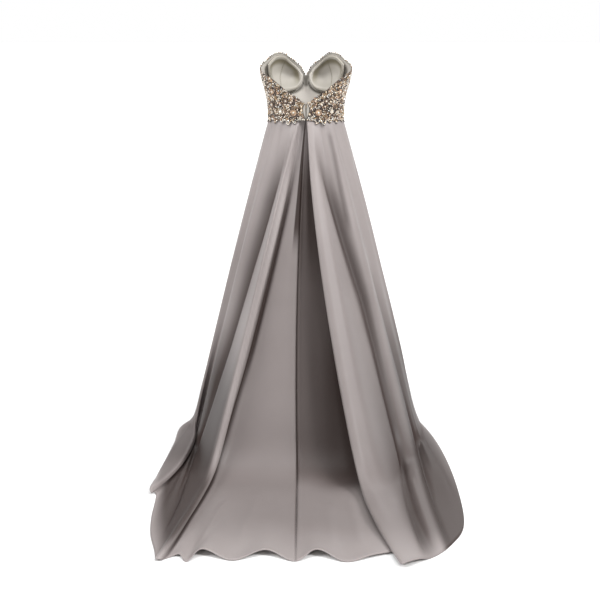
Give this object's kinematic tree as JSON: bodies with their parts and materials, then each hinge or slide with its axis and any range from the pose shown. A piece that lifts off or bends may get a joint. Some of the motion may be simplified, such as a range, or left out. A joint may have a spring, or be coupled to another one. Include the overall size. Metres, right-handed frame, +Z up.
{
  "type": "strapless evening gown with train",
  "caption": "Strapless gown with a beaded bodice, moulded inner cups and a satin skirt that falls from an inverted back pleat into a train, filled out as worn.",
  "frame": {"origin": "middle of the waist, where the figure inside holds the gown up", "axes": "+X the wearer's right, +Y the wearer's front, +Z up; the train runs out along -Y"},
  "size_m": [0.9408, 1.563, 1.3018],
  "materials": {
    "skirt_satin": "satin",
    "beaded_net": "beaded, glinting",
    "lining": "smooth, low sheen",
    "zip_tape": "matte"
  },
  "bodies": {
    "root": {"skirt_back_left": "skirt_satin", "skirt_back_right": "skirt_satin", "skirt_front": "skirt_satin", "bodice_back_right": "beaded_net", "bodice_side_front_right": "beaded_net", "bodice_centre_front": "beaded_net", "bodice_side_front_left": "beaded_net", "bodice_back_left": "beaded_net", "front_lining": "lining", "cup_right": "lining", "cup_left": "lining", "closure_lip_right": "skirt_satin", "closure_lip_left": "skirt_satin", "zip_tape": "zip_tape"}
  },
  "joints": []
}
